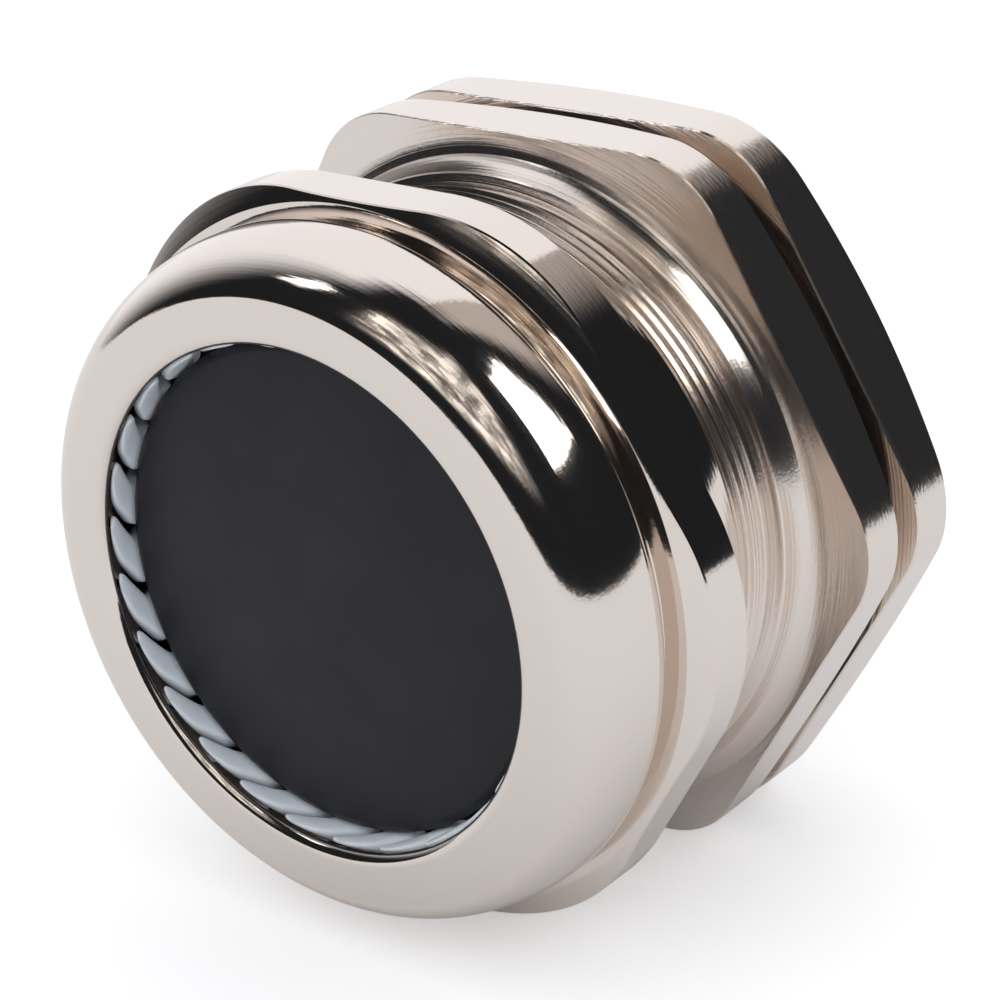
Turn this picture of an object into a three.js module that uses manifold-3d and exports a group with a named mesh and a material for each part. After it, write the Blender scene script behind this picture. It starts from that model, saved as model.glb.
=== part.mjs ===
// Cable gland of nickel-plated brass with an M72x2 end thread, lying on its hexagon flats, its axis along Y
// and the cable mouth at -Y. It is a threaded gland body, a domed pressure nut with a slip ring, a claw ring
// with slanted fingers round a rubber sealing insert, a dust disc, an O-ring and a lock nut.
// Millimetres, +Z up, the floor at Z = 0. Axial stations are measured from the nose face, s = 0.
import * as THREE from "three";
import Module from "manifold-3d";

const wasm = await Module();
wasm.setup();

// ---- driving dimensions ----
// Radii are built up from the cable outwards, each piece adding its wall, step or clearance. Lengths run
// from the nose backwards in the same way.
const CABLE_R = 27.6;
const TURN_SEGMENTS = 36;
const SEAT_GAP = 0.3;
const THREAD_GAP = 0.35;
const HEX_WALL = 4.5;
const CORNER_RISE = 4.4;

// pressure nut
const NOSE_BORE_STEP = 0.6;
const NOSE_LIP = 1.1;
const NOSE_EDGE_ROUND = 0.8;
const NOSE_CAVITY_STEP = 2.2;
const DOME_ROUNDING = 5.75;
const DOME_STEP = 1.55;
const DOME_LENGTH = 10;
const DOME_UNDERCUT = 1.35;
const DOME_FOOT_LENGTH = 3;
const FOOT_STEP = 0.35;
const NUT_GROOVE = 0.2;
const NUT_HEX_LENGTH = 6.8;
const NUT_CHAMFER_RISE = 2.8;
const SKIRT_WALL = 1.65;
const SKIRT_LENGTH = 6.4;
const NUT_RELIEF_LENGTH = 5;
const NUT_RELIEF_DEPTH = 0.25;
const SHOULDER_DEPTH = 3.1;
const EDGE_CHAMFER = 0.5;

// slip ring in the nut
const SLIP_RING_LENGTH = 2;
const SLIP_RING_STEP = 0.2;
const SLIP_RING_FLARE = 1;
const SLIP_RING_WALL = 2.4;

// claw ring and fingers
const FINGER_COUNT = 26;
const FINGER_GAP = 2.306;
const FINGER_SLANT = 0.7;
const FINGER_TIP_STEP = 0.15;
const FINGER_TIP_THICKNESS = 0.55;
const FINGER_TIP_ROUND = 1.1;
const FINGER_TIP_LENGTH = 1.8;
const FINGER_RISE = 0.1;
const FINGER_PAD_LENGTH = 5.6;
const FINGER_LENGTH = 14.8;
const FINGER_RAMP = 0.58;
const FINGER_CLEARANCE = 0.7;
const HUMP_START = 4.5;
const HUMP_LENGTH = 2;
const FINGER_NECK_LENGTH = 1.7;
const FINGER_ROOT_WALL = 1.6;
const HINGE_GAP = 0.4;
const CLAW_WALL = 2.3;
const CLAW_FLANGE_LENGTH = 1.6;
const CLAW_SLEEVE_LENGTH = 5.3;

// sealing insert and dust disc
const SEAL_WALL = 1.5;
const SEAL_RIB_DEPTH = 0.6;
const SEAL_RIBS = 3;
const RUBBER_EDGE = 0.4;
const DISC_LENGTH = 3;
const DISC_BEVEL = 0.8;

// gland body
const BODY_BORE_STEP = 1.4;
const SOCKET_WALL = 2.65;
const SOCKET_LENGTH = 15.5;
const NUT_THREAD_PITCH = 1.5;
const NUT_THREAD_DEPTH = 0.85;
const NUT_THREAD_LENGTH = 16.8;
const THREAD_ROOT = 0.2;
const THREAD_START = 0.4;
const THREAD_FADE = 0.4;
const FRONT_CHAMFER = 0.75;
const COLLAR_STEP = 0.9;
const COLLAR_INSET = 0.4;
const COLLAR_LENGTH = 3.7;
const COLLAR_LAND = 1.2;
const COLLAR_LAND_RISE = 0.4;
const COLLAR_FLARE = 1.2;
const COLLAR_FLARE_LENGTH = 0.9;
const BODY_HEX_LENGTH = 7.85;
const REAR_CHAMFER = 2.2;
const REAR_LAND = 0.2;
const ORING_GROOVE_DEPTH = 1.3;
const END_THREAD_WALL = 5.9;
const END_THREAD_PITCH = 2;
const END_THREAD_DEPTH = 1.1;
const END_THREAD_LENGTH = 15.15;
const BORE_CHAMFER = 0.6;
const END_CHAMFER = 0.8;

// O-ring and lock nut
const ORING_CORD = 2.4;
const ORING_SEAT = 0.15;
const LOCK_NUT_GAP = 2.1;
const LOCK_NUT_LENGTH = 8;
const LOCK_NUT_CHAMFER = 1;

// ---- radii that follow from them ----
const noseBoreR = CABLE_R + NOSE_BORE_STEP;
const noseCavityR = noseBoreR + NOSE_CAVITY_STEP;
const slipBoreR = noseCavityR + SLIP_RING_STEP;
const slipRingR = slipBoreR + SLIP_RING_WALL;
const cavityR = slipRingR + SEAT_GAP;
const fingerTipR = CABLE_R + FINGER_TIP_STEP;
const humpR = cavityR - FINGER_CLEARANCE;
const sealR = CABLE_R + SEAL_WALL;
const clawBoreR = sealR + SEAT_GAP;
const sleeveR = clawBoreR + CLAW_WALL;
const socketR = sleeveR + SEAT_GAP;
const nutCoreR = socketR + SOCKET_WALL;
const nutThreadR = nutCoreR + NUT_THREAD_DEPTH;
const nutMinorR = nutCoreR + THREAD_GAP;
const reliefR = nutThreadR + THREAD_GAP + NUT_RELIEF_DEPTH;
const skirtR = reliefR + SKIRT_WALL;
const hexFlat = nutThreadR + HEX_WALL;
const cornerR = hexFlat + CORNER_RISE;
const domeR = hexFlat - DOME_STEP;
const domeFootR = domeR - DOME_UNDERCUT;
const noseFaceR = domeR - DOME_ROUNDING;
const bodyBoreR = CABLE_R + BODY_BORE_STEP;
const endCoreR = bodyBoreR + END_THREAD_WALL;
const endThreadR = endCoreR + END_THREAD_DEPTH;
const lockMinorR = endCoreR + THREAD_GAP;
const lockReliefR = endThreadR + THREAD_GAP + NUT_RELIEF_DEPTH;
const neckR = endCoreR - SEAT_GAP;
const oringR = neckR + SEAT_GAP + ORING_CORD / 2;
const grooveR = oringR + ORING_CORD / 2 + SEAT_GAP;
const collarFrontR = nutThreadR + COLLAR_STEP;
const collarRearR = hexFlat - COLLAR_INSET;

// ---- stations that follow from them ----
const domeFoot = DOME_LENGTH + DOME_FOOT_LENGTH;
const nutHexFront = domeFoot - NUT_GROOVE;
const nutHexRear = nutHexFront + NUT_HEX_LENGTH;
const skirtRear = nutHexRear + SKIRT_LENGTH;
const nutThreadFront = domeFoot + NUT_RELIEF_LENGTH;
const shoulder = NOSE_LIP + SHOULDER_DEPTH;
const slipFront = shoulder + SEAT_GAP;
const fingerTip = NOSE_LIP + SEAT_GAP;
const padRear = fingerTip + FINGER_PAD_LENGTH;
const padStep = padRear + SEAT_GAP;
const fingerRoot = fingerTip + FINGER_LENGTH;
const flangeFront = fingerRoot + HINGE_GAP;
const flangeRear = flangeFront + CLAW_FLANGE_LENGTH;
const bodyFront = flangeRear + SEAT_GAP;
const sleeveRear = bodyFront + CLAW_SLEEVE_LENGTH - SEAT_GAP;
const socketRear = bodyFront + SOCKET_LENGTH;
const threadRear = bodyFront + NUT_THREAD_LENGTH;
const bodyHexFront = threadRear + COLLAR_LENGTH;
const bodyHexRear = bodyHexFront + BODY_HEX_LENGTH;
const lockFront = bodyHexRear + LOCK_NUT_GAP;
const lockRear = lockFront + LOCK_NUT_LENGTH;
const bodyRear = bodyHexRear + END_THREAD_LENGTH;
const oringStation = bodyHexRear - ORING_GROOVE_DEPTH + ORING_SEAT + ORING_CORD / 2;

// Joins vertices closer than a tenth of a micrometre, and turns the faces outward.
function solid(geometry) {
  const position = geometry.attributes.position;
  const order = geometry.index ? geometry.index.array : [...Array(position.count).keys()];
  const known = new Map();
  const vertices = [];
  const label = [];
  for (let i = 0; i < position.count; i++) {
    const p = [position.getX(i), position.getY(i), position.getZ(i)];
    const key = p.map((c) => Math.round(c * 1e4)).join();
    if (!known.has(key)) {
      known.set(key, vertices.length / 3);
      vertices.push(...p);
    }
    label.push(known.get(key));
  }
  const triangles = [];
  let volume = 0;
  for (let i = 0; i < order.length; i += 3) {
    const [a, b, c] = [label[order[i]], label[order[i + 1]], label[order[i + 2]]];
    if (a === b || b === c || c === a) continue;
    triangles.push(a, b, c);
    const [p, q, r] = [a, b, c].map((k) => new THREE.Vector3().fromArray(vertices, 3 * k));
    volume += p.dot(q.cross(r));
  }
  if (volume < 0) triangles.reverse();
  return new wasm.Manifold(new wasm.Mesh({
    numProp: 3,
    vertProperties: new Float32Array(vertices),
    triVerts: new Uint32Array(triangles),
  }));
}

// A turned piece: the profile is a list of [radius, station], closed back to its first point.
function turned(profile) {
  const points = profile.map(([r, s]) => new THREE.Vector2(r, s));
  if (profile[0][0] > 0) points.push(points[0].clone());
  return solid(new THREE.LatheGeometry(points, TURN_SEGMENTS));
}

// A hexagonal bar along the axis, flats facing straight up and down.
function hexBar(from, to) {
  const across = hexFlat / Math.cos(Math.PI / 6);
  const bar = new THREE.CylinderGeometry(across, across, to - from, 6);
  bar.rotateY(Math.PI / 6 + Math.PI / 3);
  bar.translate(0, (from + to) / 2, 0);
  return solid(bar);
}

// The ridge of a right-hand thread: a three-sided bar bent along a helix whose phase is zero at s = 0.
// fade is the number of turns over which each end sinks into the core.
function ridge({ crest, base, half, pitch, from, to, fade }) {
  const first = Math.ceil((from / pitch) * TURN_SEGMENTS);
  const steps = Math.floor(((to - from) / pitch) * TURN_SEGMENTS);
  const bar = new THREE.CylinderGeometry(1, 1, steps, 3, steps);
  const position = bar.attributes.position;
  for (let i = 0; i < position.count; i++) {
    const across = position.getX(i) / Math.sin((2 * Math.PI) / 3);
    const rise = (position.getZ(i) + 0.5) / 1.5;
    const step = position.getY(i) + steps / 2;
    const turn = (first + step) / TURN_SEGMENTS;
    const fromEnd = Math.min(step, steps - step) / TURN_SEGMENTS;
    const height = fade > 0 ? Math.min(1, 0.08 + fromEnd / fade) : 1;
    const r = base + rise * height * (crest - base);
    const angle = 2 * Math.PI * turn;
    position.setXYZ(i, r * Math.sin(angle), pitch * turn + across * half, r * Math.cos(angle));
  }
  return solid(bar);
}

// The finger at the top of the ring: a bar bent round the axis and slanted along its length. Each
// station gives its place along the axis, its inner radius and its outer radius.
function finger(stations) {
  const rows = stations.length - 1;
  const bar = new THREE.BoxGeometry(1, 1, rows, 3, 1, rows);
  const position = bar.attributes.position;
  for (let i = 0; i < position.count; i++) {
    const u = position.getX(i);
    const outer = position.getY(i) > 0;
    const row = Math.round(position.getZ(i) + rows / 2);
    const [station, inside, outside] = stations[row];
    const rounding = row === 0 ? FINGER_TIP_ROUND * Math.pow(2 * Math.abs(u), 3) : 0;
    const s = station + rounding;
    const r = outer ? outside : inside;
    const slant = THREE.MathUtils.degToRad(FINGER_SLANT) * (fingerRoot - station);
    const width = (2 * Math.PI * fingerTipR) / FINGER_COUNT - FINGER_GAP;
    const a = slant + (u * width) / fingerTipR;
    position.setXYZ(i, r * Math.sin(a), s, r * Math.cos(a));
  }
  return solid(bar);
}

// ---- pressure nut ----
const noseProfile = [
  [noseBoreR, NOSE_LIP],
  [noseBoreR, NOSE_EDGE_ROUND],
  [noseBoreR + 0.3 * NOSE_EDGE_ROUND, 0.3 * NOSE_EDGE_ROUND],
  [noseBoreR + NOSE_EDGE_ROUND, 0],
];
for (let i = 0; i <= 8; i++) {
  const a = (Math.PI / 2) * (i / 8);
  noseProfile.push([
    noseFaceR + DOME_ROUNDING * Math.sin(a),
    DOME_LENGTH * (1 - Math.cos(a)),
  ]);
}
noseProfile.push(
  [domeR - 0.35 * DOME_UNDERCUT, DOME_LENGTH + 0.6 * DOME_FOOT_LENGTH],
  [domeFootR, domeFoot],
  [domeFootR + FOOT_STEP, domeFoot],
  [domeFootR + FOOT_STEP, nutHexFront],
  [hexFlat - COLLAR_INSET, nutHexFront],
  [cornerR, nutHexFront + NUT_CHAMFER_RISE],
  [cornerR, nutHexRear - EDGE_CHAMFER],
  [cornerR - EDGE_CHAMFER, nutHexRear],
  [skirtR, nutHexRear],
  [skirtR, skirtRear - EDGE_CHAMFER],
  [skirtR - EDGE_CHAMFER, skirtRear],
  [reliefR, skirtRear],
  [nutMinorR, skirtRear - (reliefR - nutMinorR)],
  [nutMinorR, nutThreadFront],
  [reliefR, nutThreadFront],
  [reliefR, domeFoot],
  [cavityR, domeFoot],
  [cavityR, shoulder],
  [noseCavityR, shoulder],
  [noseCavityR, NOSE_LIP],
);
const nutRidge = {
  crest: nutThreadR,
  base: nutCoreR - THREAD_ROOT,
  half: 0.47 * NUT_THREAD_PITCH,
  pitch: NUT_THREAD_PITCH,
};
const nutGroove = ridge({
  ...nutRidge,
  crest: nutRidge.crest + THREAD_GAP,
  base: nutRidge.base + THREAD_GAP,
  from: nutThreadFront - NUT_RELIEF_LENGTH / 2,
  to: skirtRear + NUT_THREAD_PITCH,
  fade: 0,
});
const domeNut = turned(noseProfile).intersect(hexBar(-1, skirtRear + 1)).subtract(nutGroove);

// ---- slip ring, inside the nut ----
const slipRing = turned([
  [slipBoreR, slipFront],
  [slipRingR, slipFront],
  [slipRingR, slipFront + SLIP_RING_LENGTH],
  [slipBoreR + SLIP_RING_FLARE, slipFront + SLIP_RING_LENGTH],
]);

// ---- claw ring and its fingers ----
const clawRing = turned([
  [clawBoreR, flangeFront],
  [humpR, flangeFront],
  [humpR, flangeRear],
  [sleeveR, flangeRear],
  [sleeveR, sleeveRear],
  [clawBoreR, sleeveRear],
]);
const rampStartR = slipBoreR - FINGER_CLEARANCE + FINGER_RISE;
const fingerStations = [
  [fingerTip, fingerTipR, fingerTipR + FINGER_TIP_THICKNESS],
  [fingerTip + FINGER_TIP_LENGTH, fingerTipR, noseCavityR - FINGER_CLEARANCE],
  [slipFront, fingerTipR, rampStartR],
  [padRear, fingerTipR, rampStartR + FINGER_RAMP * (padRear - slipFront)],
  [padStep, clawBoreR, rampStartR + FINGER_RAMP * (padStep - slipFront)],
  [slipFront + HUMP_START, clawBoreR, humpR],
  [slipFront + HUMP_START + HUMP_LENGTH, clawBoreR, humpR],
  [fingerRoot - FINGER_NECK_LENGTH, clawBoreR, clawBoreR + FINGER_ROOT_WALL + 2 * FINGER_RISE],
  [fingerRoot, clawBoreR, clawBoreR + FINGER_ROOT_WALL],
];
const clawFinger = finger(fingerStations);

// ---- sealing insert: a ribbed rubber sleeve, gripped by the fingers in front and the socket behind ----
const sealFront = padStep + SEAT_GAP;
const sealStep = sleeveRear + SEAT_GAP;
const sealRear = socketRear - SEAT_GAP;
const sealProfile = [
  [CABLE_R, sealFront],
  [sealR - RUBBER_EDGE, sealFront],
  [sealR, sealFront + RUBBER_EDGE],
  [sealR, sealStep],
  [sleeveR, sealStep],
  [sleeveR, sealRear],
  [CABLE_R, sealRear],
];
const ribPitch = (sealRear - sealFront) / (SEAL_RIBS + 0.5);
for (let k = SEAL_RIBS; k >= 1; k--) {
  const s = sealFront + ribPitch * k;
  sealProfile.push([CABLE_R, s], [CABLE_R + SEAL_RIB_DEPTH, s - 0.3 * ribPitch]);
  sealProfile.push([CABLE_R, s - 0.6 * ribPitch]);
}
const sealingInsert = turned(sealProfile);

// ---- dust disc, held by the finger pads ----
const discR = fingerTipR - SEAT_GAP;
const discFront = padRear - DISC_LENGTH;
const dustDisc = turned([
  [0, discFront],
  [discR - DISC_BEVEL, discFront],
  [discR, discFront + 0.5 * DISC_BEVEL],
  [discR, padRear - RUBBER_EDGE],
  [discR - RUBBER_EDGE, padRear],
  [0, padRear],
]);

// ---- gland body ----
const bodyTurned = turned([
  [socketR, bodyFront],
  [nutCoreR - FRONT_CHAMFER, bodyFront],
  [nutCoreR, bodyFront + FRONT_CHAMFER],
  [nutCoreR, threadRear],
  [collarFrontR, threadRear + EDGE_CHAMFER],
  [collarFrontR + COLLAR_LAND_RISE, threadRear + COLLAR_LAND],
  [collarRearR - COLLAR_FLARE, bodyHexFront - COLLAR_FLARE_LENGTH],
  [collarRearR, bodyHexFront],
  [cornerR - EDGE_CHAMFER, bodyHexFront],
  [cornerR, bodyHexFront + EDGE_CHAMFER],
  [cornerR, bodyHexRear - REAR_CHAMFER],
  [hexFlat + REAR_LAND, bodyHexRear],
  [grooveR, bodyHexRear],
  [grooveR, bodyHexRear - ORING_GROOVE_DEPTH],
  [neckR, bodyHexRear - ORING_GROOVE_DEPTH],
  [neckR, lockFront - SEAT_GAP],
  [endCoreR, lockFront],
  [endCoreR, bodyRear - END_CHAMFER],
  [endCoreR - END_CHAMFER, bodyRear],
  [bodyBoreR + BORE_CHAMFER, bodyRear],
  [bodyBoreR, bodyRear - BORE_CHAMFER],
  [bodyBoreR, socketRear],
  [socketR, socketRear],
]);
const frontRidge = ridge({
  ...nutRidge,
  from: bodyFront + 0.5 * NUT_THREAD_PITCH + THREAD_START,
  to: threadRear - 0.5 * NUT_THREAD_PITCH,
  fade: THREAD_FADE,
});
const endRidge = {
  crest: endThreadR,
  base: endCoreR - THREAD_ROOT,
  half: 0.47 * END_THREAD_PITCH,
  pitch: END_THREAD_PITCH,
};
const rearRidge = ridge({
  ...endRidge,
  from: lockFront + 0.5 * END_THREAD_PITCH,
  to: bodyRear - 0.5 * END_THREAD_PITCH - THREAD_START,
  fade: THREAD_FADE,
});
const glandBody = bodyTurned
  .intersect(hexBar(bodyFront - 1, bodyRear + 1))
  .add(frontRidge)
  .add(rearRidge);

// ---- O-ring, in the groove of the body's hexagon ----
const ringCord = new THREE.TorusGeometry(oringR, ORING_CORD / 2, 8, TURN_SEGMENTS);
ringCord.rotateX(Math.PI / 2);
ringCord.translate(0, oringStation, 0);
const oRing = solid(ringCord);

// ---- lock nut ----
const lockGroove = ridge({
  ...endRidge,
  crest: endRidge.crest + THREAD_GAP,
  base: endRidge.base + THREAD_GAP,
  from: lockFront - END_THREAD_PITCH,
  to: lockRear + END_THREAD_PITCH,
  fade: 0,
});
const lockNut = turned([
  [grooveR, lockFront],
  [cornerR - LOCK_NUT_CHAMFER, lockFront],
  [cornerR, lockFront + 0.8 * LOCK_NUT_CHAMFER],
  [cornerR, lockRear - REAR_CHAMFER],
  [hexFlat + REAR_LAND, lockRear],
  [lockReliefR, lockRear],
  [lockMinorR, lockRear - (lockReliefR - lockMinorR)],
  [lockMinorR, lockFront + (grooveR - lockMinorR)],
]).intersect(hexBar(lockFront - 1, lockRear + 1)).subtract(lockGroove);

// ---- the assembly ----
const nickel = { color: 0xdcd2cc, metalness: 1, roughness: 0.2 };
const polyamide = { color: 0xaab9c3, metalness: 0, roughness: 0.45 };
const rubber = { color: 0x2a2a2e, metalness: 0, roughness: 0.8 };
const polymer = { color: 0x3a3a3c, metalness: 0, roughness: 0.5 };
const gland = new THREE.Group();
gland.position.set(0, -bodyRear / 2, hexFlat);

// Adds a piece to the gland, turned about the axis by the given angle.
function place(name, body, look, angle = 0) {
  const mesh = body.getMesh();
  const geometry = new THREE.BufferGeometry();
  geometry.setAttribute("position", new THREE.BufferAttribute(new Float32Array(mesh.vertProperties), 3));
  geometry.setIndex(new THREE.BufferAttribute(new Uint32Array(mesh.triVerts), 1));
  geometry.computeVertexNormals();
  const piece = new THREE.Mesh(geometry, new THREE.MeshStandardMaterial(look));
  piece.name = name;
  piece.rotation.y = angle;
  gland.add(piece);
}

place("gland_body", glandBody, nickel);
place("dome_nut", domeNut, nickel);
place("lock_nut", lockNut, nickel);
place("o_ring", oRing, rubber);
place("slip_ring", slipRing, polymer);
place("claw_ring", clawRing, polyamide);
for (let k = 0; k < FINGER_COUNT; k++) {
  const name = `claw_finger_${String(k + 1).padStart(2, "0")}`;
  place(name, clawFinger, polyamide, (2 * Math.PI * k) / FINGER_COUNT);
}
place("sealing_insert", sealingInsert, rubber);
place("dust_disc", dustDisc, rubber);

const object = new THREE.Group();
object.name = "cable_gland";
object.add(gland);

export default object;
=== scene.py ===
"""A cable gland of nickel-plated brass, lying on the flats of its hexagons with the cable mouth to the front.

The pieces follow in the order in which the gland is put together. The gland's axis runs along Y, and a
station is a distance along it, counted backwards from the nose of the pressure nut. Profiles are written in
millimetres, and meshes are made in metres.
"""
import math

import bpy
import numpy as np
from mathutils import Matrix, Vector


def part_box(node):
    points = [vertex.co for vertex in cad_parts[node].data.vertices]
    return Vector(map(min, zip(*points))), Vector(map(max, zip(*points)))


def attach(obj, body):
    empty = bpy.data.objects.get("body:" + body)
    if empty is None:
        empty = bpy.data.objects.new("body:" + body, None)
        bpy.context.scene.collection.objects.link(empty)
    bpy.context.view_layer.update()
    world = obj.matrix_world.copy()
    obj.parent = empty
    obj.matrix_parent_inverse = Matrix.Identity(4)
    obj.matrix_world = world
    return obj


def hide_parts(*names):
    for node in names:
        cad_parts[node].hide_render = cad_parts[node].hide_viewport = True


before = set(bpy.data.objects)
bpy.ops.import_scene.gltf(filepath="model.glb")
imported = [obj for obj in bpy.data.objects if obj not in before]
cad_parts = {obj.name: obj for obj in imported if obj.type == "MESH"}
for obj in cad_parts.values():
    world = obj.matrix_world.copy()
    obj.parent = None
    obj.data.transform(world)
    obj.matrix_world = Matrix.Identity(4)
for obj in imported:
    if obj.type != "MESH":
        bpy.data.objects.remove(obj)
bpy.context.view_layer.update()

# ---- The bench and the camera ----
# The gland lies on a white bench. A long lens looks into its mouth from the front right and from above,
# so that all three hexagons show behind one another.
MM = 0.001
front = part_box("dome_nut")[0].y
axis_height = 0.5 * (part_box("dome_nut")[0].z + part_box("dome_nut")[1].z)

aim = Vector((0.0, front + 25.0 * MM, axis_height))
camera_turn = math.radians(40.23)
camera_rise = math.radians(23.99)
camera_roll = math.radians(-4.01)
camera_distance = 310.9 * MM

backward = Vector((
    math.sin(camera_turn) * math.cos(camera_rise),
    -math.cos(camera_turn) * math.cos(camera_rise),
    math.sin(camera_rise),
))
level = Vector((math.cos(camera_turn), math.sin(camera_turn), 0.0))
upright = backward.cross(level)
sideways = math.cos(camera_roll) * level + math.sin(camera_roll) * upright
upward = math.cos(camera_roll) * upright - math.sin(camera_roll) * level

camera_data = bpy.data.cameras.new("bench_camera")
camera_data.sensor_width = 36.0
camera_data.lens = 102.9
camera_data.shift_x = 0.0509
camera_data.shift_y = 0.0217
camera_data.clip_start = 0.01
camera = bpy.data.objects.new("bench_camera", camera_data)
camera.matrix_world = Matrix.Translation(aim + camera_distance * backward) @ Matrix((
    (sideways.x, upward.x, backward.x, 0.0),
    (sideways.y, upward.y, backward.y, 0.0),
    (sideways.z, upward.z, backward.z, 0.0),
    (0.0, 0.0, 0.0, 1.0),
))
bpy.context.scene.collection.objects.link(camera)
bpy.context.scene.camera = camera
bpy.context.scene.view_settings.view_transform = "Standard"

bench_half = 0.8
bench_corners = [(x * bench_half, y * bench_half, 0.0) for x, y in ((-1, -1), (1, -1), (1, 1), (-1, 1))]
bench_mesh = bpy.data.meshes.new("bench")
bench_mesh.from_pydata(bench_corners, [], [(0, 1, 2, 3)])
bench = bpy.data.objects.new("bench", bench_mesh)
bpy.context.scene.collection.objects.link(bench)


def new_material(name):
    """An empty node material with its output node, as (material, nodes, links, output)."""
    material = bpy.data.materials.new(name)
    material.use_nodes = True
    material.node_tree.nodes.clear()
    output = material.node_tree.nodes.new("ShaderNodeOutputMaterial")
    return material, material.node_tree.nodes, material.node_tree.links, output


def seen_directly(nodes, links, to_camera, to_mirrors):
    """One number for camera rays, another for mirror and glass rays and 0 for the rest, so that a light
    that only they see can be added."""
    path = nodes.new("ShaderNodeLightPath")
    mirror_or_glass = nodes.new("ShaderNodeMath")
    mirror_or_glass.operation = "MAXIMUM"
    links.new(path.outputs["Is Glossy Ray"], mirror_or_glass.inputs[0])
    links.new(path.outputs["Is Transmission Ray"], mirror_or_glass.inputs[1])
    mirror_share = nodes.new("ShaderNodeMath")
    mirror_share.operation = "MULTIPLY"
    mirror_share.inputs[1].default_value = to_mirrors
    links.new(mirror_or_glass.outputs[0], mirror_share.inputs[0])
    total = nodes.new("ShaderNodeMath")
    total.operation = "MULTIPLY_ADD"
    total.inputs[1].default_value = to_camera
    links.new(path.outputs["Is Camera Ray"], total.inputs[0])
    links.new(mirror_share.outputs[0], total.inputs[2])
    return total.outputs[0]


paper_colour = (0.86, 0.86, 0.87, 1.0)
glow_to_camera = 0.38
glow_to_mirrors = 0.05
bench_white, nodes, links, output = new_material("bench_white")
paper = nodes.new("ShaderNodeBsdfDiffuse")
paper.inputs["Color"].default_value = paper_colour
paper_glow = nodes.new("ShaderNodeEmission")
paper_glow.inputs["Color"].default_value = (1.0, 0.995, 0.99, 1.0)
glow_level = seen_directly(nodes, links, glow_to_camera, glow_to_mirrors)
links.new(glow_level, paper_glow.inputs["Strength"])
paper_sum = nodes.new("ShaderNodeAddShader")
links.new(paper.outputs[0], paper_sum.inputs[0])
links.new(paper_glow.outputs[0], paper_sum.inputs[1])
links.new(paper_sum.outputs[0], output.inputs["Surface"])
bench_mesh.materials.append(bench_white)

# ---- The studio ----
# White cloth hangs to the left and behind, black cloth in front and to the right. Two lit boxes hang high in
# front of the black cloth, with crumpled foil between them. The plating mirrors all this, and an even soft
# light falls on everything dull.
world = bpy.data.worlds.new("studio")
bpy.context.scene.world = world
world.use_nodes = True
nodes = world.node_tree.nodes
links = world.node_tree.links
nodes.clear()
direction = nodes.new("ShaderNodeTexCoord").outputs["Generated"]
split = nodes.new("ShaderNodeSeparateXYZ")
links.new(direction, split.inputs[0])


def studio_math(operation, first, second=None):
    """One Math node on the studio's tree; an input is a socket or a plain number."""
    node = nodes.new("ShaderNodeMath")
    node.operation = operation
    for place, value in enumerate((first, second)):
        if isinstance(value, (int, float)):
            node.inputs[place].default_value = value
        elif value is not None:
            links.new(value, node.inputs[place])
    return node.outputs[0]


def within(value, low, high, edge):
    """1 between low and high, 0 outside, with a smooth step of width `edge` at both ends, in degrees."""
    middle = math.radians(0.5 * (low + high))
    reach = math.radians(0.5 * (high - low))
    ramp = nodes.new("ShaderNodeMapRange")
    ramp.interpolation_type = "SMOOTHSTEP"
    ramp.inputs["From Min"].default_value = reach + math.radians(0.5 * edge)
    ramp.inputs["From Max"].default_value = reach - math.radians(0.5 * edge)
    links.new(studio_math("ABSOLUTE", studio_math("SUBTRACT", value, middle)), ramp.inputs["Value"])
    return ramp.outputs["Result"]


turn = studio_math("ARCTAN2", split.outputs["X"], studio_math("MULTIPLY", split.outputs["Y"], -1.0))
rise = studio_math("ARCSINE", split.outputs["Z"])


def hang(turns, rises, side_edge, end_edge):
    """The share of a panel seen in each direction: inside its turns and its rises, in degrees, with
    edges of the given softness at its sides and at its top and foot."""
    return studio_math("MULTIPLY", within(turn, *turns, side_edge), within(rise, *rises, end_edge))


def lay_over(below, share, colour):
    """Puts a panel of one colour over what is behind it."""
    mix = nodes.new("ShaderNodeMix")
    mix.data_type = "RGBA"
    mix.clamp_factor = True
    mix.inputs[7].default_value = (*colour, 1.0)
    links.new(share, mix.inputs[0])
    if isinstance(below, tuple):
        mix.inputs[6].default_value = (*below, 1.0)
    else:
        links.new(below, mix.inputs[6])
    return mix.outputs[2]


foil = nodes.new("ShaderNodeTexNoise")
foil.inputs["Scale"].default_value = 7.0
foil.inputs["Detail"].default_value = 5.0
foil.inputs["Roughness"].default_value = 0.65
foil.inputs["Distortion"].default_value = 1.2
links.new(direction, foil.inputs["Vector"])
foil_creases = nodes.new("ShaderNodeMapRange")
foil_creases.interpolation_type = "SMOOTHSTEP"
foil_creases.inputs["From Min"].default_value = 0.42
foil_creases.inputs["From Max"].default_value = 0.62
links.new(foil.outputs["Fac"], foil_creases.inputs["Value"])

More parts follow.
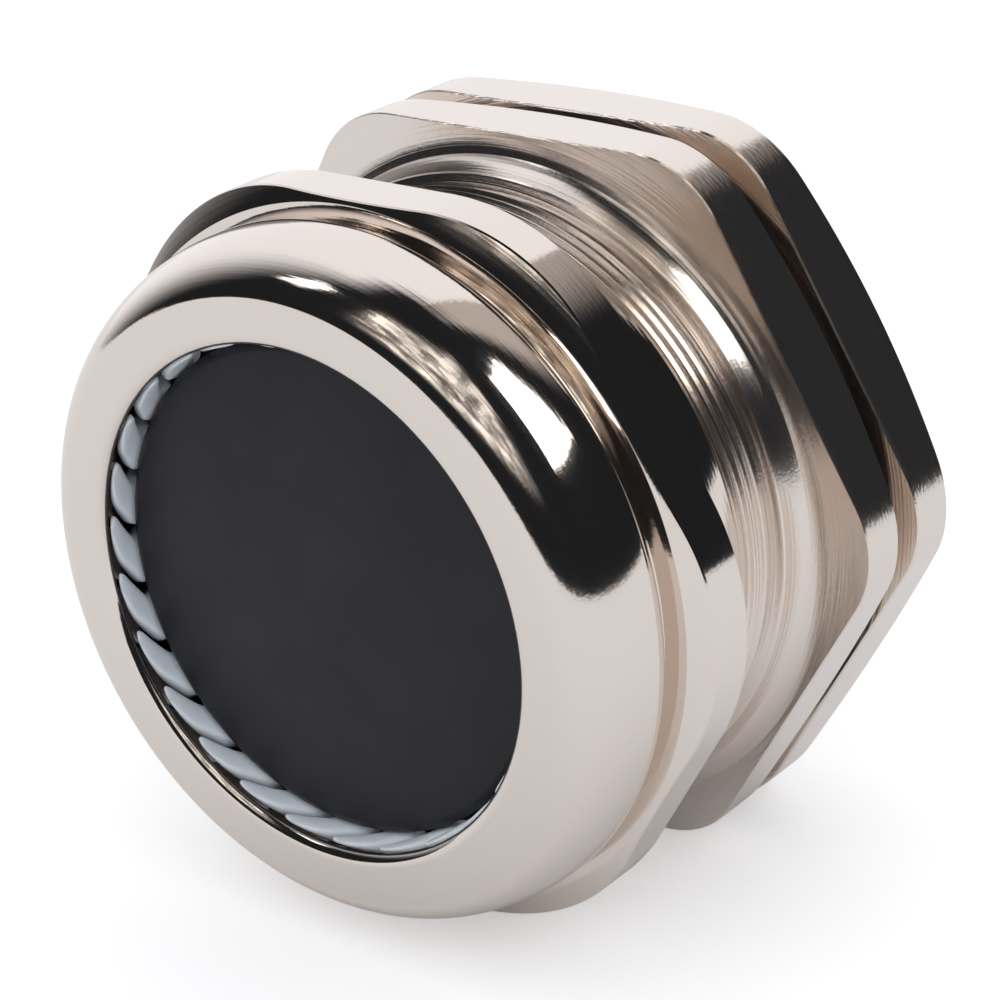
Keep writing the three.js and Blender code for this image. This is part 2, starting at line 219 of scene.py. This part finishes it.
black_cloth = (0.012, 0.013, 0.015)
white_cloth = (1.03, 1.03, 1.06)
brown_board = (0.55, 0.50, 0.47)
foil_shade = (0.16, 0.15, 0.14)
foil_glint = (1.7, 1.62, 1.5)
left_box = (2.2, 2.2, 2.2)
right_box = (4.2, 4.15, 4.1)
pale_ground = (0.86, 0.86, 0.86)
view = lay_over(black_cloth, hang((-240.0, -86.0), (-20.0, 74.0), 56.0, 12.0), white_cloth)
view = lay_over(view, hang((150.0, 190.0), (38.0, 74.0), 16.0, 16.0), brown_board)
view = lay_over(view, hang((-24.0, 56.0), (24.0, 70.0), 12.0, 12.0), foil_shade)
foil_sheet = hang((-22.0, 54.0), (26.0, 68.0), 10.0, 10.0)
foil_share = studio_math("MULTIPLY", foil_sheet, foil_creases.outputs["Result"])
view = lay_over(view, foil_share, foil_glint)
view = lay_over(view, hang((-63.0, -49.0), (44.0, 60.0), 3.0, 3.0), left_box)
view = lay_over(view, hang((92.0, 126.0), (33.0, 62.0), 2.0, 2.0), right_box)
view = lay_over(view, within(rise, -90.0, -3.0, 2.0), pale_ground)

studio_light = nodes.new("ShaderNodeBackground")
links.new(view, studio_light.inputs["Color"])
soft_light = nodes.new("ShaderNodeBackground")
soft_light.inputs["Color"].default_value = (0.92, 0.93, 0.95, 1.0)
white_ground = nodes.new("ShaderNodeBackground")
white_ground.inputs["Color"].default_value = (1.0, 1.0, 1.0, 1.0)
ray = nodes.new("ShaderNodeLightPath")
mirrored = nodes.new("ShaderNodeMixShader")
links.new(ray.outputs["Is Glossy Ray"], mirrored.inputs[0])
links.new(soft_light.outputs[0], mirrored.inputs[1])
links.new(studio_light.outputs[0], mirrored.inputs[2])
choose = nodes.new("ShaderNodeMixShader")
links.new(ray.outputs["Is Camera Ray"], choose.inputs[0])
links.new(mirrored.outputs[0], choose.inputs[1])
links.new(white_ground.outputs[0], choose.inputs[2])
world_output = nodes.new("ShaderNodeOutputWorld")
links.new(choose.outputs[0], world_output.inputs["Surface"])

# ---- Gland body ----
# Turned and milled from one brass bar and nickel plated: a sleeve with the pressure nut's thread, a flared
# collar, the hexagon with a groove for the O-ring in its rear face, and the end thread.
COLUMNS = 360
half_flats = 40.0 * MM
corner_reach = 44.4


def rounded_hexagon(angle, corner_reach):
    """Radius of the hexagon bar at each angle, where 0 is the middle of the upper flat. It is
    f / cos(a) on a flat, with f half the width across flats and a the angle from the flat's middle, and
    d cos(b) + sqrt(c^2 - d^2 sin^2 b) round a corner, with c the corner's fillet, d the distance of the
    fillet's centre from the axis and b the angle from the corner."""
    sharp_reach = half_flats / math.cos(math.pi / 6)
    fillet = (sharp_reach - corner_reach) / (1 / math.cos(math.pi / 6) - 1)
    centre = corner_reach - fillet
    from_flat = np.abs((angle + math.pi / 6) % (math.pi / 3) - math.pi / 6)
    from_corner = math.pi / 6 - from_flat
    tangent = math.atan2(half_flats * math.tan(math.pi / 6) - fillet * math.tan(math.pi / 6), half_flats)
    flat = half_flats / np.cos(from_flat)
    under_root = np.maximum(fillet ** 2 - (centre * np.sin(from_corner)) ** 2, 0.0)
    corner = centre * np.cos(from_corner) + np.sqrt(under_root)
    return np.where(from_flat < tangent, flat, corner)


def cut_to_hexagon(radius, station, limit):
    """Cuts a turned profile back to the hexagon. radius and station are columns of profile points, limit
    is the hexagon's radius at each angle. A point outside slides along its edge to where that edge meets
    the hexagon, or, with both neighbours outside, straight in to the hexagon."""
    cut_station = np.repeat(station, limit.shape[1], axis=1)
    outside = radius > limit
    for step in (-1, 1):
        near_radius = np.roll(radius, step, axis=0)
        near_station = np.roll(station, step, axis=0)
        run = np.where(np.abs(radius - near_radius) < 1e-9, 1.0, radius - near_radius)
        share = (limit - near_radius) / run
        crossing = near_station + share * (station - near_station)
        cut_station = np.where(outside & (near_radius <= limit), crossing, cut_station)
    return np.minimum(radius, limit), cut_station


def break_corners(radius, station, bevels):
    """Replaces each corner of the profiles with two points, `bevel` away from it along its two edges, or
    at most two fifths of the edge; where the bevel is 0 the point stays single."""
    rows = []
    for i, bevel in enumerate(bevels):
        here = np.stack((radius[i], station[i]))
        if bevel == 0.0:
            rows.append(here)
            continue
        for j in ((i - 1) % len(bevels), (i + 1) % len(bevels)):
            edge = np.stack((radius[j], station[j])) - here
            length = np.maximum(np.hypot(edge[0], edge[1]), 1e-9)
            rows.append(here + edge / length * np.minimum(bevel, 0.4 * length))
    return np.stack(rows)


def round_the_axis(radius, station, angle):
    """Puts radius r, station s and angle a at x = r sin a, y = front + s, z = axis height + r cos a."""
    x = radius * np.sin(angle)
    y = front + station + 0.0 * angle
    z = axis_height + radius * np.cos(angle)
    return np.stack((x, y, z), axis=-1)


def grid_faces(rows, columns, close_rows):
    """Four-sided faces of a grid whose columns close round on themselves, and its rows too if asked."""
    i, j = np.meshgrid(np.arange(rows if close_rows else rows - 1), np.arange(columns), indexing="ij")
    below = (i + 1) % rows
    beside = (j + 1) % columns
    corners = (i * columns + j, i * columns + beside, below * columns + beside, below * columns + j)
    return np.stack(corners, axis=-1).reshape(-1, 4)


def volume_under(points, faces):
    """Signed volume of a closed mesh: the sum over its faces of p0 . ((p2 - p0) x (p3 - p1)) / 6."""
    a, b, c, d = (points[faces[:, k]] for k in range(4))
    return np.einsum("ij,ij->", a, np.cross(c - a, d - b)) / 6


def add_piece(name, points, faces, caps=(), sharp=28.0):
    """Makes a mesh object of points and faces that point outwards, smooth but for edges over `sharp`."""
    points = points.reshape(-1, 3)
    if volume_under(points, faces) < 0:
        faces = faces[:, ::-1]
        caps = [cap[::-1] for cap in caps]
    mesh = bpy.data.meshes.new(name)
    mesh.from_pydata(points.tolist(), [], faces.tolist() + [list(cap) for cap in caps])
    mesh.update()
    mesh.shade_smooth()
    mesh.set_sharp_from_angle(angle=math.radians(sharp))
    piece = bpy.data.objects.new(name, mesh)
    bpy.context.scene.collection.objects.link(piece)
    return piece


def turned(name, profile, reach=None, columns=COLUMNS, sharp=28.0):
    """A turned piece: a closed profile of (radius, station, bevel) in millimetres, carried round the axis
    and, for a hexagon bar, cut back first to a hexagon whose corners reach that far."""
    radius, station, bevel = np.array(profile, float).T * MM
    angle = np.linspace(0.0, 2 * math.pi, columns, endpoint=False)[None, :]
    limit = np.full_like(angle, 1.0) if reach is None else rounded_hexagon(angle, reach * MM)
    cut_radius, cut_station = cut_to_hexagon(radius[:, None], station[:, None], limit)
    rows = break_corners(cut_radius, cut_station, bevel)
    points = round_the_axis(rows[:, 0], rows[:, 1], angle)
    return add_piece(name, points, grid_faces(len(rows), columns, close_rows=True), sharp=sharp)


def from_axis(nodes, links):
    """Sockets for the distance from the gland's axis and the place along it, in metres."""
    place = nodes.new("ShaderNodeTexCoord")
    centred = nodes.new("ShaderNodeMapping")
    centred.inputs["Location"].default_value = (0.0, 0.0, -axis_height)
    links.new(place.outputs["Object"], centred.inputs["Vector"])
    parts = nodes.new("ShaderNodeSeparateXYZ")
    links.new(centred.outputs[0], parts.inputs[0])
    across = nodes.new("ShaderNodeCombineXYZ")
    links.new(parts.outputs["X"], across.inputs["X"])
    links.new(parts.outputs["Z"], across.inputs["Z"])
    distance = nodes.new("ShaderNodeVectorMath")
    distance.operation = "LENGTH"
    links.new(across.outputs[0], distance.inputs[0])
    return centred.outputs[0], distance.outputs["Value"], parts.outputs["Y"]


def noise(nodes, links, vector, scale, detail):
    """A noise pattern of `scale` cells to the metre."""
    pattern = nodes.new("ShaderNodeTexNoise")
    pattern.inputs["Scale"].default_value = scale
    pattern.inputs["Detail"].default_value = detail
    links.new(vector, pattern.inputs["Vector"])
    return pattern.outputs["Fac"]


def bump(nodes, links, height, distance, strength, under=None):
    """Adds a relief of the given height in metres on top of another one."""
    relief = nodes.new("ShaderNodeBump")
    relief.inputs["Distance"].default_value = distance
    relief.inputs["Strength"].default_value = strength
    links.new(height, relief.inputs["Height"])
    if under is not None:
        links.new(under, relief.inputs["Normal"])
    return relief.outputs["Normal"]


def nickel_plating(name, roughness, marks, grain):
    """Bright nickel on brass: warm grey metal with the cutter's rings, a slow waviness left by polishing,
    and a fine grain. marks and grain are the strengths of the rings and of the grain."""
    material, nodes, links, output = new_material(name)
    metal = nodes.new("ShaderNodeBsdfPrincipled")
    metal.inputs["Base Color"].default_value = (0.80, 0.725, 0.665, 1.0)
    metal.inputs["Metallic"].default_value = 1.0
    centred, distance, along = from_axis(nodes, links)
    ring_place = nodes.new("ShaderNodeCombineXYZ")
    links.new(distance, ring_place.inputs["X"])
    links.new(along, ring_place.inputs["Y"])
    rings = noise(nodes, links, ring_place.outputs[0], 2600.0, 3.0)
    waves = noise(nodes, links, centred, 90.0, 2.0)
    specks = noise(nodes, links, centred, 2400.0, 2.0)
    relief = bump(nodes, links, waves, 0.05 * MM, 0.4)
    relief = bump(nodes, links, rings, 0.04 * MM, marks, relief)
    relief = bump(nodes, links, specks, 0.02 * MM, grain, relief)
    links.new(relief, metal.inputs["Normal"])
    shine = nodes.new("ShaderNodeMapRange")
    shine.inputs["To Min"].default_value = 0.75 * roughness
    shine.inputs["To Max"].default_value = 1.25 * roughness
    links.new(rings, shine.inputs["Value"])
    links.new(shine.outputs["Result"], metal.inputs["Roughness"])
    links.new(metal.outputs[0], output.inputs["Surface"])
    return material


turned_nickel = nickel_plating("turned_nickel", 0.17, 1.0, 0.5)

sleeve_front = 18.5
sleeve_edge = 33.9
sleeve_core = 34.65
socket_radius = 32.0
socket_floor = 34.0
through_bore = 29.0
thread_end = 35.3
hexagon_front = 39.0
hexagon_rear = 46.85
hexagon_face = 39.5
past_corners = 46.5
chamfer_length = 3.26
chamfer_radius = 39.98
groove_radius = 37.6
groove_floor = hexagon_rear - 1.3
panel_neck = 34.6
panel_neck_end = 48.6
end_core = 34.9
end_core_front = 48.9
body_end = 62.0
end_chamfer = 0.8
bore_chamfer = 0.6
body_profile = [
    (socket_radius, sleeve_front, 0.2), (sleeve_edge, sleeve_front, 0),
    (sleeve_core, sleeve_front + 0.75, 0),
    (sleeve_core, thread_end - 0.3, 0), (36.25, thread_end + 0.3, 0.12), (36.45, thread_end + 1.1, 0),
    (36.7, thread_end + 2.0, 0), (37.05, thread_end + 2.7, 0), (37.5, thread_end + 3.2, 0),
    (38.2, thread_end + 3.52, 0), (39.0, hexagon_front - 0.05, 0), (hexagon_face, hexagon_front, 0.05),
    (past_corners, hexagon_front, 0.15), (past_corners, hexagon_rear - chamfer_length, 0),
    (chamfer_radius, hexagon_rear, 0.12), (groove_radius, hexagon_rear, 0.1),
    (groove_radius, groove_floor, 0.1), (panel_neck, groove_floor, 0.1),
    (panel_neck, panel_neck_end, 0.1), (end_core, end_core_front, 0),
    (end_core, body_end - end_chamfer, 0.1), (end_core - end_chamfer, body_end, 0.1),
    (through_bore + bore_chamfer, body_end, 0.1), (through_bore, body_end - bore_chamfer, 0.1),
    (through_bore, socket_floor, 0.2), (socket_radius, socket_floor, 0.2),
]
gland_body = turned("turned_gland_body", body_profile, reach=corner_reach, sharp=18.0)
gland_body.data.materials.append(turned_nickel)
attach(gland_body, "gland_body")
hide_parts("gland_body")

# ---- The body's two threads ----
# The thread for the pressure nut, pitch 1.5 mm, and the end thread, pitch 2 mm, cut into the same bar. The
# crests are flat and a little rounded, and each thread runs out at its ends.
STEPS_IN_A_TURN = 120
THREAD_ROOT = 0.25


def thread_ridge(name, base, crest, pitch, first, last, foot, tip, fade, lag=0.0):
    """One helical ridge, right-handed, at station pitch * (t + lag) and angle 2 pi t after t turns. Its
    section is a four-sided tooth with rounded crest, `foot` wide at the base radius and `tip` wide at the
    crest; its height grows as the sine of a quarter turn over `fade` turns at each end. A lag of half a turn
    puts the ridge of an inside thread into the groove of the outside one."""
    steps = int((last - first) / pitch * STEPS_IN_A_TURN)
    turns = np.linspace(first / pitch, last / pitch, steps)[:, None]
    rise = np.array([0.0, 0.86, 1.0, 1.0, 0.86, 0.0])[None, :]
    shoulder = tip + 0.08 * foot
    across = np.array([-foot, -shoulder, -0.6 * tip, 0.6 * tip, shoulder, foot])[None, :] / 2
    from_end = np.minimum(turns - turns[0], turns[-1] - turns) / fade
    height = np.sin(0.5 * math.pi * np.clip(from_end, 0.03, 1.0))
    radius = (base + rise * height * (crest - base)) * MM
    station = (pitch * (turns + lag) + across * height) * MM
    points = round_the_axis(radius, station, 2 * math.pi * turns)
    section = rise.size
    caps = (tuple(range(section))[::-1], tuple(range((steps - 1) * section, steps * section)))
    return add_piece(name, points, grid_faces(steps, section, close_rows=False), caps, sharp=40.0)


nut_pitch = 1.5
end_pitch = 2.0
nut_thread_crest = 35.5
end_thread_crest = 36.0
for name, base, crest, pitch, first, last in (
    ("pressure_nut_thread", sleeve_core - THREAD_ROOT, nut_thread_crest, nut_pitch, 19.5, 34.5),
    ("end_thread", end_core - THREAD_ROOT, end_thread_crest, end_pitch, 49.6, 60.6),
):
    ridge = thread_ridge(name, base, crest, pitch, first, last, 0.86 * pitch, 0.16 * pitch, 0.4)
    ridge.data.materials.append(turned_nickel)
    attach(ridge, "gland_body")

# ---- O-ring ----
# Black rubber cord ring, pressed into the groove of the hexagon's rear face, where it seals against the wall
# of the enclosure. It stands a little proud of the face.
oring_radius = 36.1 * MM
oring_station = 46.9 * MM
oring_cord = 1.2 * MM


def rubber(name, colour, roughness, grain):
    """Moulded black rubber: dull, with a fine grain and a faint bloom in paler patches."""
    material, nodes, links, output = new_material(name)
    skin = nodes.new("ShaderNodeBsdfPrincipled")
    skin.inputs["Roughness"].default_value = roughness
    skin.inputs["Specular IOR Level"].default_value = 0.25
    centred, _, _ = from_axis(nodes, links)
    bloom = nodes.new("ShaderNodeMapRange")
    bloom.inputs["From Min"].default_value = 0.35
    bloom.inputs["From Max"].default_value = 0.75
    links.new(noise(nodes, links, centred, 120.0, 6.0), bloom.inputs["Value"])
    tint = nodes.new("ShaderNodeMix")
    tint.data_type = "RGBA"
    tint.inputs[6].default_value = (*colour, 1.0)
    tint.inputs[7].default_value = (*[1.35 * c for c in colour], 1.0)
    links.new(bloom.outputs["Result"], tint.inputs[0])
    links.new(tint.outputs[2], skin.inputs["Base Color"])
    skin_grain = noise(nodes, links, centred, 3000.0, 3.0)
    links.new(bump(nodes, links, skin_grain, 0.03 * MM, grain), skin.inputs["Normal"])
    links.new(skin.outputs[0], output.inputs["Surface"])
    return material


black_rubber = rubber("black_rubber", (0.018, 0.018, 0.020), 0.5, 0.25)


def cord_ring(name, ring_radius, station, cord_radius, columns=180, sides=20):
    """A ring of round cord: radius R + c cos(b) and station s + c sin(b) for the angle b round the cord."""
    angle = np.linspace(0.0, 2 * math.pi, columns, endpoint=False)[None, :]
    around = np.linspace(0.0, 2 * math.pi, sides, endpoint=False)[:, None]
    points = round_the_axis(
        ring_radius + cord_radius * np.cos(around) + 0.0 * angle,
        station + cord_radius * np.sin(around),
        angle,
    )
    return add_piece(name, points, grid_faces(sides, columns, close_rows=True))


o_ring = cord_ring("rubber_o_ring", oring_radius, oring_station, oring_cord)
o_ring.data.materials.append(black_rubber)
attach(o_ring, "o_ring")
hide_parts("o_ring")

# ---- Lock nut ----
# A flat hexagon nut, chamfered at the back and countersunk at both ends of its thread. It clamps the wall of
# the enclosure against the body's hexagon.
lock_front = 48.95
lock_rear = 56.95
lock_bore = 36.3
lock_thread_crest = 35.3
lock_profile = [
    (groove_radius, lock_front, 0.1), (past_corners, lock_front, 0.2),
    (past_corners, lock_rear - chamfer_length, 0), (chamfer_radius, lock_rear, 0.12),
    (lock_bore + 0.4, lock_rear, 0.1), (lock_bore, lock_rear - 0.5, 0.1),
    (lock_bore, lock_front + 1.2, 0.1),
]
lock_nut = turned("hexagon_lock_nut", lock_profile, reach=corner_reach, sharp=18.0)
lock_nut.data.materials.append(turned_nickel)
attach(lock_nut, "lock_nut")
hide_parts("lock_nut")

lock_thread = thread_ridge(
    "lock_nut_thread", lock_bore + 0.2, lock_thread_crest, end_pitch, lock_front + 0.6, lock_rear - 2.4,
    foot=0.8 * end_pitch, tip=0.2 * end_pitch, fade=0.3, lag=0.5,
)
lock_thread.data.materials.append(turned_nickel)
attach(lock_thread, "lock_nut")

# ---- Sealing insert ----
# A soft rubber sleeve with ribs round its bore. The socket of the body holds its thick rear end, and the
# fingers squeeze its thin front end onto the cable.
seal_bore = 27.6
seal_front = 7.6
seal_step = 23.8
seal_rear = 33.7
seal_profile = [
    (seal_bore, seal_front, 0.2), (29.1, seal_front, 0.4), (29.1, seal_step, 0.1),
    (31.7, seal_step, 0.3), (31.7, seal_rear, 0.3), (seal_bore, seal_rear, 0.3),
]
seal_ribs = 6
rib_pitch = (seal_rear - seal_front - 1.0) / seal_ribs
for rib in range(seal_ribs, 0, -1):
    crest_station = seal_front + 0.5 + rib_pitch * rib
    seal_profile += [
        (seal_bore, crest_station - 0.15 * rib_pitch, 0.15),
        (seal_bore + 0.6, crest_station - 0.35 * rib_pitch, 0.2),
        (seal_bore + 0.6, crest_station - 0.65 * rib_pitch, 0.2),
        (seal_bore, crest_station - 0.85 * rib_pitch, 0.15),
    ]
sealing_insert = turned("ribbed_sealing_insert", seal_profile, columns=180)
sealing_insert.data.materials.append(black_rubber)
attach(sealing_insert, "gland_body")
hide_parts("sealing_insert")

# ---- Claw ring ----
# Moulded in pale grey polyamide: a short sleeve that plugs into the body's socket, with a flange against the
# body's end face. The claw fingers spring from the flange.
claw_bore = 29.4


def moulded_polyamide(name):
    """Pale grey polyamide: satin, slightly see-through, with a soft cloudiness and a fine moulded grain."""
    material, nodes, links, output = new_material(name)
    skin = nodes.new("ShaderNodeBsdfPrincipled")
    skin.inputs["Roughness"].default_value = 0.34
    skin.inputs["Subsurface Weight"].default_value = 0.25
    skin.inputs["Subsurface Scale"].default_value = 1.0 * MM
    skin.inputs["Subsurface Radius"].default_value = (1.0, 0.9, 0.8)
    centred, _, _ = from_axis(nodes, links)
    tint = nodes.new("ShaderNodeMix")
    tint.data_type = "RGBA"
    tint.inputs[6].default_value = (0.74, 0.80, 0.87, 1.0)
    tint.inputs[7].default_value = (0.82, 0.87, 0.93, 1.0)
    links.new(noise(nodes, links, centred, 260.0, 3.0), tint.inputs[0])
    links.new(tint.outputs[2], skin.inputs["Base Color"])
    grain = noise(nodes, links, centred, 2600.0, 2.0)
    links.new(bump(nodes, links, grain, 0.02 * MM, 0.15), skin.inputs["Normal"])
    links.new(skin.outputs[0], output.inputs["Surface"])
    return material


polyamide = moulded_polyamide("grey_polyamide")
claw_profile = [
    (claw_bore, 16.6, 0.2), (32.6, 16.6, 0.3), (32.6, 18.2, 0.2),
    (31.7, 18.2, 0.05), (31.7, 23.5, 0.3), (claw_bore, 23.5, 0.3),
]
claw_ring = turned("claw_ring_sleeve", claw_profile, columns=180)
claw_ring.data.materials.append(polyamide)
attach(claw_ring, "gland_body")
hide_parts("claw_ring")

# ---- Claw fingers ----
# A ring of fingers with rounded tips, each moulded onto the claw ring by a thin hinge. Their tips all slant
# the same way, so that they close like a twisted rope when the pressure nut pushes them in.
FINGERS = 26
finger_tip = 1.4
finger_root = 16.2
finger_width = 5.25
finger_slant = math.radians(3.0)
finger_bend = 4.85
finger_stations = [1.4, 3.2, 4.5, 7.0, 7.3, 9.0, 11.0, 14.5, 16.2]
finger_inside = [27.75, 27.75, 27.75, 27.75, 29.4, 29.4, 29.4, 29.4, 29.4]
finger_outside = [28.3, 29.7, 30.0, 31.45, 31.6, 32.6, 32.6, 31.2, 31.0]


def claw_finger(name, angle, rows=30, sides=20):
    """One finger at an angle round the axis. Along it, u runs from tip to root, with the inner and outer
    radius drawn between its stations. Round it, the section is a rounded rectangle: the signed
    cos(v) ^ 0.6 across its width and the signed sin(v) ^ 0.6 through its thickness. Over the first
    millimetre the section grows as a quarter circle, which rounds the tip. From the bend to the tip the
    finger leans round the axis by the slant for each millimetre."""
    u = np.linspace(0.0, 1.0, rows)[:, None] ** 1.4
    station = finger_tip + u * (finger_root - finger_tip)
    inside = np.interp(station, finger_stations, finger_inside)
    outside = np.interp(station, finger_stations, finger_outside)
    v = np.linspace(0.0, 2 * math.pi, sides, endpoint=False)[None, :]
    across = np.sign(np.cos(v)) * np.abs(np.cos(v)) ** 0.6
    through = np.sign(np.sin(v)) * np.abs(np.sin(v)) ** 0.6
    tip_round = np.clip((station - finger_tip) / 1.1, 0.02, 1.0)
    grown = np.sqrt(1 - (1 - tip_round) ** 2)
    radius = 0.5 * (inside + outside) + 0.5 * (outside - inside) * through * (0.4 + 0.6 * grown)
    half_turn = 0.5 * finger_width / 27.75
    lean = finger_slant * np.logaddexp(0.0, 4.0 * (finger_bend - station)) / 4.0
    around = angle + lean + half_turn * across * grown
    points = round_the_axis(radius * MM, station * MM + 0.0 * v, around)
    caps = (tuple(range(sides))[::-1], tuple(range((rows - 1) * sides, rows * sides)))
    return add_piece(name, points, grid_faces(rows, sides, close_rows=False), caps, sharp=50.0)


for k in range(FINGERS):
    cad_name = f"claw_finger_{k + 1:02d}"
    finger = claw_finger(f"polyamide_finger_{k + 1:02d}", 2 * math.pi * k / FINGERS)
    finger.data.materials.append(polyamide)
    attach(finger, cad_name)
    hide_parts(cad_name)

# ---- Slip ring ----
# A thin black plastic ring in the pressure nut. Its slope slides over the fingers when the nut is tightened,
# so that they aren't twisted along.
slip_profile = [(30.6, 4.5, 0.1), (33.0, 4.5, 0.2), (33.0, 6.5, 0.2), (31.6, 6.5, 0.1)]


def black_plastic(name):
    """Black moulded plastic: satin with a fine grain."""
    material, nodes, links, output = new_material(name)
    skin = nodes.new("ShaderNodeBsdfPrincipled")
    skin.inputs["Base Color"].default_value = (0.02, 0.02, 0.022, 1.0)
    skin.inputs["Roughness"].default_value = 0.4
    centred, _, _ = from_axis(nodes, links)
    grain = noise(nodes, links, centred, 2400.0, 2.0)
    links.new(bump(nodes, links, grain, 0.02 * MM, 0.2), skin.inputs["Normal"])
    links.new(skin.outputs[0], output.inputs["Surface"])
    return material


slip_ring = turned("plastic_slip_ring", slip_profile, columns=180)
slip_ring.data.materials.append(black_plastic("black_plastic"))
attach(slip_ring, "slip_ring")
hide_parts("slip_ring")

# ---- Pressure nut ----
# Turned from hexagon bar: a polished dome round the mouth, a short hexagon and a plain skirt. Its thread
# pulls it onto the body, and its dome closes the fingers.
polished_nickel = nickel_plating("polished_nickel", 0.08, 0.3, 0.2)
mouth = 28.2
lip_width = 1.4
lip_depth = 1.0
nose_flat = 32.7
dome_radius = 38.45
dome_length = 10.0
foot_step = 1.9
foot_length = 2.7
thread_floor = 13.0
nose_floor = 4.2
nose_bore = 30.4
lip_rear = 1.1
nut_hexagon_front = 12.8
nut_hexagon_rear = 19.6
nut_corner_reach = 42.2
skirt_radius = 37.75
skirt_end = 26.0
nut_bore = 35.95
cavity = 33.3
quarter = np.linspace(0.0, 0.5 * math.pi, 10)
lip = [(mouth + lip_width * (1 - math.cos(a)), lip_depth * (1 - math.sin(a)), 0) for a in quarter]
quarter = np.linspace(0.0, 0.5 * math.pi, 40)
dome = [
    (nose_flat + (dome_radius - nose_flat) * math.sin(a), dome_length * (1 - math.cos(a)), 0)
    for a in quarter
]
foot = [
    (dome_radius - foot_step * t ** 1.7, dome_length + foot_length * t, 0)
    for t in np.linspace(0.1, 1.0, 12)
]
nut_profile = [(mouth, lip_rear, 0.1)] + lip + dome + foot + [
    (36.8, nut_hexagon_front + 0.12, 0), (37.3, nut_hexagon_front + 0.2, 0),
    (38.2, nut_hexagon_front + 0.08, 0), (hexagon_face, nut_hexagon_front, 0.08),
    (past_corners, nut_hexagon_front + 3.94, 0.15), (past_corners, nut_hexagon_rear, 0.2),
    (skirt_radius, nut_hexagon_rear, 0.1), (skirt_radius, skirt_end - 0.5, 0.1),
    (skirt_radius - 0.5, skirt_end, 0.1), (36.3, skirt_end, 0.1), (nut_bore, skirt_end - 0.4, 0.05),
    (nut_bore, thread_floor, 0.1), (cavity, thread_floor, 0.2), (cavity, nose_floor, 0.2),
    (nose_bore, nose_floor, 0.2), (nose_bore, lip_rear, 0.2),
]
pressure_nut = turned("domed_pressure_nut", nut_profile, reach=nut_corner_reach)
pressure_nut.data.materials.append(polished_nickel)
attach(pressure_nut, "dome_nut")
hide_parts("dome_nut")

nut_thread = thread_ridge(
    "thread_in_pressure_nut", nut_bore + 0.2, 35.1, nut_pitch, 18.0, 24.0,
    foot=0.8 * nut_pitch, tip=0.2 * nut_pitch, fade=0.3, lag=0.5,
)
nut_thread.data.materials.append(turned_nickel)
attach(nut_thread, "dome_nut")

# ---- Dust disc ----
# A loose disc of soft black rubber with a bevelled front edge. It closes the mouth until the cable is
# pushed in, and the finger pads hold it.
disc_radius = 27.45
disc_front = 4.0
disc_rear = 7.0
disc_bevel = 0.8


def closed_disc(name, profile, columns=COLUMNS):
    """A turned piece with no bore: the rows of its profile from the front centre to the rear centre, each
    end closed by a fan of triangles round one point on the axis."""
    radius, station = np.array(profile, float).T[:, :, None] * MM
    angle = np.linspace(0.0, 2 * math.pi, columns, endpoint=False)[None, :]
    points = round_the_axis(radius, station, angle)
    rows = len(profile)
    j = np.arange(columns)
    beside = (j + 1) % columns
    last = (rows - 1) * columns
    centres = round_the_axis(np.zeros(2), station[[0, -1], 0], np.zeros(2))
    front_centre = np.full(columns, rows * columns)
    front_fan = np.stack((front_centre, beside, j), axis=-1)
    rear_fan = np.stack((front_centre + 1, last + j, last + beside), axis=-1)
    fans = np.concatenate((front_fan, rear_fan)).tolist()
    points = np.concatenate((points.reshape(-1, 3), centres))
    return add_piece(name, points, grid_faces(rows, columns, close_rows=False), fans)


disc_profile = [
    (1.0, disc_front), (disc_radius - disc_bevel - 0.25, disc_front),
    (disc_radius - disc_bevel, disc_front + 0.05),
    (disc_radius - 0.1, disc_front + 0.45), (disc_radius, disc_front + 0.6), (disc_radius, disc_rear - 0.4),
    (disc_radius - 0.4, disc_rear), (1.0, disc_rear),
]
dust_disc = closed_disc("rubber_dust_disc", disc_profile)
dust_disc.data.materials.append(rubber("disc_rubber", (0.0135, 0.013, 0.017), 0.45, 0.45))
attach(dust_disc, "dust_disc")
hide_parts("dust_disc")
